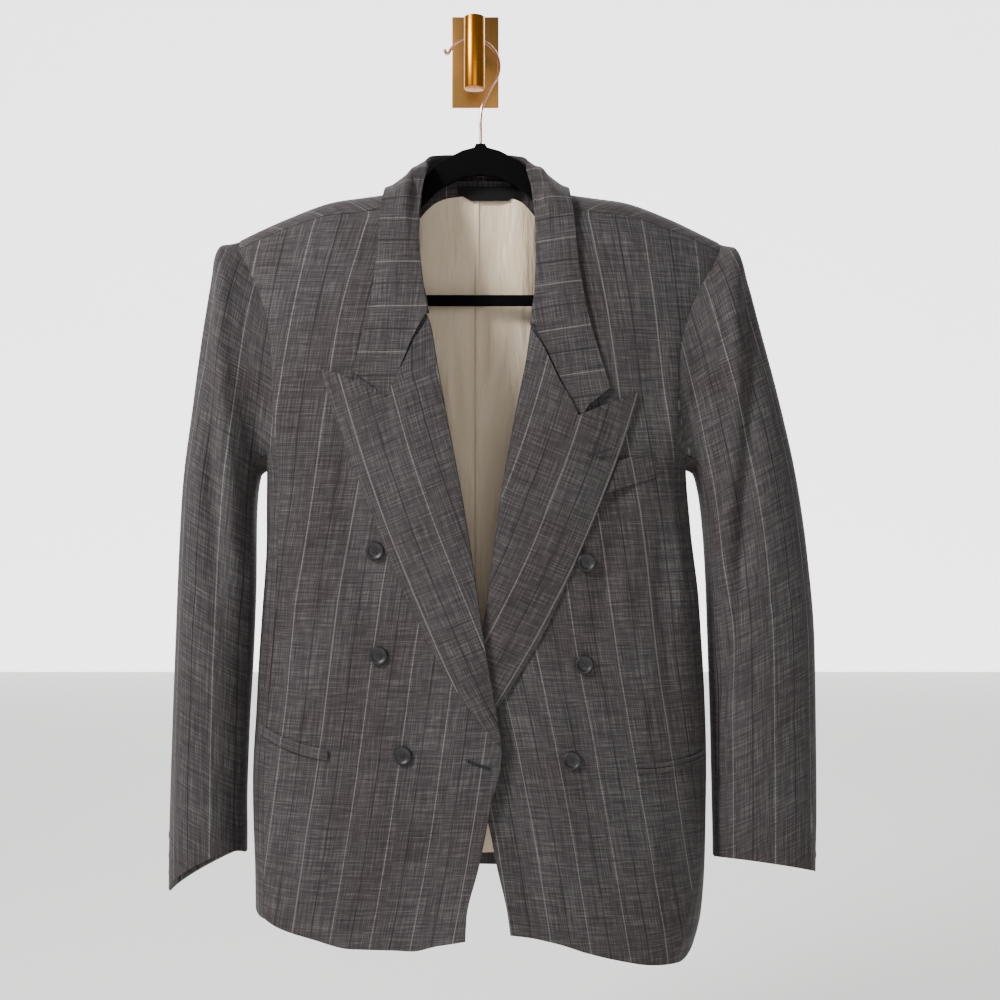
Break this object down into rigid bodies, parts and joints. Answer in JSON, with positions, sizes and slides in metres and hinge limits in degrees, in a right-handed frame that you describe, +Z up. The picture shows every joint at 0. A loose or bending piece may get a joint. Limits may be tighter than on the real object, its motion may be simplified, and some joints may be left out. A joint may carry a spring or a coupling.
{
  "type": "blazer on hanger",
  "caption": "Double breasted peak-lapel pinstripe blazer on a slim flocked hanger, hung from a brass wall hook.",
  "frame": {"origin": "centre of the back face of the hook's wall plate, on the wall", "axes": "+X towards the viewer's right (the wearer's left), +Y into the wall, +Z up; the coat hangs below at -Z and stands out of the wall at -Y"},
  "size_m": [0.6936, 0.161, 1.0142],
  "materials": {
    "worsted": "worsted wool, fine pinstripe, matte",
    "satin": "satin lining",
    "label": "black woven label, plain",
    "horn": "polished dark button",
    "velvet": "black flock on moulded plastic",
    "brass": "satin brass",
    "rose_wire": "rose gold plated steel wire"
  },
  "bodies": {
    "root": {"back_left": "worsted", "back_lining_left": "satin", "back_lining_right": "satin", "back_right": "worsted", "breast_welt": "worsted", "button_left_1": "horn", "button_left_2": "horn", "button_left_3": "horn", "button_right_1": "horn", "button_right_2": "horn", "button_right_3": "horn", "collar": "worsted", "cuff_button_left_1": "horn", "cuff_button_left_2": "horn", "cuff_button_left_3": "horn", "cuff_button_right_1": "horn", "cuff_button_right_2": "horn", "cuff_button_right_3": "horn", "front_left": "worsted", "front_right": "worsted", "hanger_body": "velvet", "hanger_hook": "rose_wire", "hook_barrel": "brass", "hook_post": "brass", "lapel_left": "worsted", "lapel_right": "worsted", "neck_label": "label", "pocket_jet_left_lower": "worsted", "pocket_jet_left_upper": "worsted", "pocket_jet_right_lower": "worsted", "pocket_jet_right_upper": "worsted", "side_panel_left": "worsted", "side_panel_right": "worsted", "top_sleeve_left": "worsted", "top_sleeve_right": "worsted", "under_sleeve_left": "worsted", "under_sleeve_right": "worsted", "wall_plate": "brass"}
  },
  "joints": []
}
